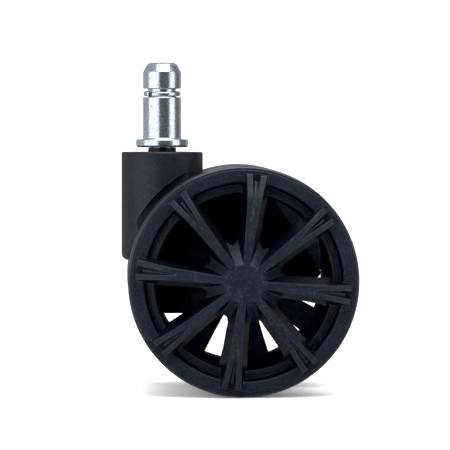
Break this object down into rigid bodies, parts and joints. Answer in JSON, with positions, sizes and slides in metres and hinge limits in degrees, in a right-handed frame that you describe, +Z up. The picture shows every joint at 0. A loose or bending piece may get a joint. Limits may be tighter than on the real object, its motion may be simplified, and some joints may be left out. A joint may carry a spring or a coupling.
{
  "type": "chair caster",
  "caption": "Hoodless swivel chair caster with a grip-ring stem, an open moulded body between spoked wheels, and smooth treads.",
  "frame": {"origin": "on the swivel axis, at the top face of the stem's flange", "axes": "+Z up along the stem, +X from the swivel axis towards the wheels, Y along the axle"},
  "size_m": [0.0667, 0.066, 0.0944],
  "materials": {
    "zinc_steel": "bright zinc plating on turned steel",
    "spring_steel": "zinc-plated spring steel",
    "plain_steel": "ground steel, lightly oiled",
    "black_nylon": "smooth black nylon",
    "housing_plastic": "moulded nylon with a fine even texture",
    "wheel_plastic": "moulded nylon with a fine speckled texture",
    "tread_urethane": "smooth satin polyurethane"
  },
  "bodies": {
    "stem": {"stem": "zinc_steel", "grip_ring": "spring_steel", "stem_clip": "spring_steel"},
    "housing": {"housing": "housing_plastic", "stem_bush": "black_nylon", "thrust_disc": "plain_steel", "axle": "plain_steel", "front_washer": "black_nylon", "back_washer": "black_nylon", "front_axle_ring": "spring_steel", "back_axle_ring": "spring_steel"},
    "front_wheel": {"front_wheel": "wheel_plastic", "front_tread": "tread_urethane"},
    "back_wheel": {"back_wheel": "wheel_plastic", "back_tread": "tread_urethane"}
  },
  "joints": [
    {"name": "swivel", "type": "hinge", "parent": "stem", "child": "housing", "pos_m": [0, 0, 0], "axis": [0, 0, 1], "continuous": true},
    {"name": "front_wheel_roll", "type": "hinge", "parent": "housing", "child": "front_wheel", "pos_m": [0.0225, -0.018, -0.0399], "axis": [0, 1, 0], "continuous": true},
    {"name": "back_wheel_roll", "type": "hinge", "parent": "housing", "child": "back_wheel", "pos_m": [0.0225, 0.018, -0.0399], "axis": [0, 1, 0], "continuous": true}
  ]
}
